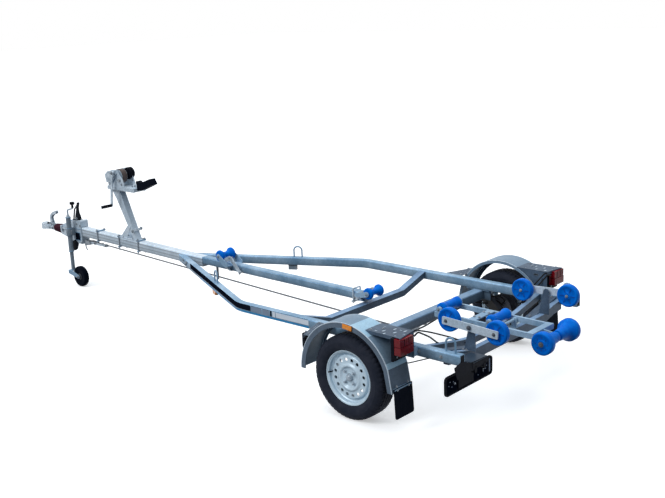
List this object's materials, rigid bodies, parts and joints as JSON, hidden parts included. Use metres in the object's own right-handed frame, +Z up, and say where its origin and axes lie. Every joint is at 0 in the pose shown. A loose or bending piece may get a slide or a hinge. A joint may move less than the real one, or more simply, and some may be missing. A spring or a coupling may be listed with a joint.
{
  "type": "boat trailer",
  "caption": "Single-axle braked boat trailer with bent box rails, keel rollers, tilting side bogies and rear cradle, winch post, jockey wheel and mudguards.",
  "frame": {"origin": "on the floor under the middle of the trailer's box", "axes": "+X forward to the coupling, +Y to the trailer's left, +Z up"},
  "size_m": [6.007, 2.064, 1.216],
  "materials": {
    "galvanised": "hot-dip galvanised, matt",
    "zinc": "bright zinc",
    "rim": "silver paint",
    "tyre": "matt rubber",
    "roller": "satin blue rubber",
    "black_plastic": "matt",
    "black_rubber": "matt",
    "red_lens": "gloss",
    "amber_lens": "gloss",
    "strap": "woven webbing"
  },
  "bodies": {
    "chassis": {"drawbar": "galvanised", "rail_left": "galvanised", "rail_right": "galvanised", "keel_beam": "galvanised", "cross_member_mid": "galvanised", "cross_member_rear": "galvanised", "cross_member_end": "galvanised", "axle": "galvanised", "guard_brackets": "galvanised", "mudguards": "galvanised", "keel_brackets": "galvanised", "bogie_brackets": "galvanised", "cradle_bracket": "galvanised", "winch_post": "galvanised", "winch_frame": "galvanised", "overrun_housing": "galvanised", "jockey_outer_tube": "galvanised", "brake_rod": "galvanised", "tie_down_loops": "galvanised", "coupling_head": "zinc", "coupling_handle": "zinc", "jockey_crank": "zinc", "lamp_bodies": "black_plastic", "plate_holder": "black_plastic", "handbrake_lever": "black_plastic", "jockey_clamp": "black_plastic", "wiring": "black_rubber", "mud_flaps": "black_rubber", "overrun_gaiter": "black_rubber", "bow_stop": "black_rubber", "lamp_lenses": "red_lens", "side_markers": "amber_lens"},
    "wheel_left": {"rim_left": "rim", "tyre_left": "tyre"},
    "wheel_right": {"rim_right": "rim", "tyre_right": "tyre"},
    "jockey_slider": {"jockey_leg": "galvanised"},
    "jockey_castor": {"jockey_fork": "galvanised"},
    "jockey_roll": {"jockey_wheel": "black_rubber"},
    "winch_spool": {"winch_drum": "zinc", "winch_strap": "strap"},
    "winch_handle": {"winch_crank": "zinc", "winch_grip": "black_plastic"},
    "roller_keel_front": {"keel_roller_front": "roller"},
    "roller_keel_rear": {"keel_roller_rear": "roller"},
    "cradle": {"cradle_frame": "galvanised"},
    "roller_cradle_front": {"cradle_roller_front": "roller"},
    "roller_cradle_mid": {"cradle_roller_mid": "roller"},
    "roller_cradle_rear": {"cradle_roller_rear": "roller"},
    "bogie_left": {"bogie_arm_left": "galvanised"},
    "roller_bogie_left_front": {"bogie_roller_left_front": "roller"},
    "roller_bogie_left_rear": {"bogie_roller_left_rear": "roller"},
    "bogie_right": {"bogie_arm_right": "galvanised"},
    "roller_bogie_right_front": {"bogie_roller_right_front": "roller"},
    "roller_bogie_right_rear": {"bogie_roller_right_rear": "roller"}
  },
  "joints": [
    {"name": "wheel_left_turn", "type": "hinge", "parent": "chassis", "child": "wheel_left", "pos_m": [-1.9815, 0.924, 0.288], "axis": [0, 1, 0], "continuous": true},
    {"name": "wheel_right_turn", "type": "hinge", "parent": "chassis", "child": "wheel_right", "pos_m": [-1.9815, -0.924, 0.288], "axis": [0, 1, 0], "continuous": true},
    {"name": "jockey_leg_slide", "type": "slide", "parent": "chassis", "child": "jockey_slider", "axis": [0, 0, 1], "range_m": [-0.08, 0.12]},
    {"name": "jockey_castor_turn", "type": "hinge", "parent": "jockey_slider", "child": "jockey_castor", "pos_m": [2.3995, 0.095, 0.152], "axis": [0, 0, 1], "continuous": true},
    {"name": "jockey_wheel_turn", "type": "hinge", "parent": "jockey_castor", "child": "jockey_roll", "pos_m": [2.2715, 0.095, 0.102], "axis": [0, 1, 0], "continuous": true},
    {"name": "winch_drum_turn", "type": "hinge", "parent": "chassis", "child": "winch_spool", "pos_m": [1.6075, 0, 1.15], "axis": [0, 1, 0], "continuous": true},
    {"name": "winch_crank_turn", "type": "hinge", "parent": "chassis", "child": "winch_handle", "pos_m": [1.6075, 0.1, 1.19], "axis": [0, 1, 0], "continuous": true},
    {"name": "keel_roller_front_turn", "type": "hinge", "parent": "chassis", "child": "roller_keel_front", "pos_m": [0.2275, 0, 0.588], "axis": [0, 1, 0], "continuous": true},
    {"name": "keel_roller_rear_turn", "type": "hinge", "parent": "chassis", "child": "roller_keel_rear", "pos_m": [-1.3975, 0, 0.526], "axis": [0, 1, 0], "continuous": true},
    {"name": "cradle_tilt", "type": "hinge", "parent": "chassis", "child": "cradle", "pos_m": [-2.5525, 0, 0.5], "axis": [0, 1, 0], "range_deg": [-8, 8]},
    {"name": "cradle_roller_front_turn", "type": "hinge", "parent": "cradle", "child": "roller_cradle_front", "pos_m": [-2.0865, 0, 0.546], "axis": [0, 1, 0], "continuous": true},
    {"name": "cradle_roller_mid_turn", "type": "hinge", "parent": "cradle", "child": "roller_cradle_mid", "pos_m": [-2.4905, 0, 0.53], "axis": [0, 1, 0], "continuous": true},
    {"name": "cradle_roller_rear_turn", "type": "hinge", "parent": "cradle", "child": "roller_cradle_rear", "pos_m": [-2.9265, 0, 0.48], "axis": [0, 1, 0], "continuous": true},
    {"name": "bogie_left_tilt", "type": "hinge", "parent": "chassis", "child": "bogie_left", "pos_m": [-2.5845, 0.492, 0.61], "axis": [0, 1, 0], "range_deg": [-12, 12]},
    {"name": "bogie_roller_left_front_turn", "type": "hinge", "parent": "bogie_left", "child": "roller_bogie_left_front", "pos_m": [-2.4035, 0.452, 0.621], "axis": [0, 1, 0], "continuous": true},
    {"name": "bogie_roller_left_rear_turn", "type": "hinge", "parent": "bogie_left", "child": "roller_bogie_left_rear", "pos_m": [-2.7655, 0.452, 0.599], "axis": [0, 1, 0], "continuous": true},
    {"name": "bogie_right_tilt", "type": "hinge", "parent": "chassis", "child": "bogie_right", "pos_m": [-2.5845, -0.492, 0.61], "axis": [0, 1, 0], "range_deg": [-12, 12]},
    {"name": "bogie_roller_right_front_turn", "type": "hinge", "parent": "bogie_right", "child": "roller_bogie_right_front", "pos_m": [-2.4035, -0.452, 0.602], "axis": [0, 1, 0], "continuous": true},
    {"name": "bogie_roller_right_rear_turn", "type": "hinge", "parent": "bogie_right", "child": "roller_bogie_right_rear", "pos_m": [-2.7655, -0.452, 0.618], "axis": [0, 1, 0], "continuous": true}
  ],
  "couplings": [
    {"joint": "winch_crank_turn", "follows": "winch_drum_turn", "ratio": -4}
  ]
}
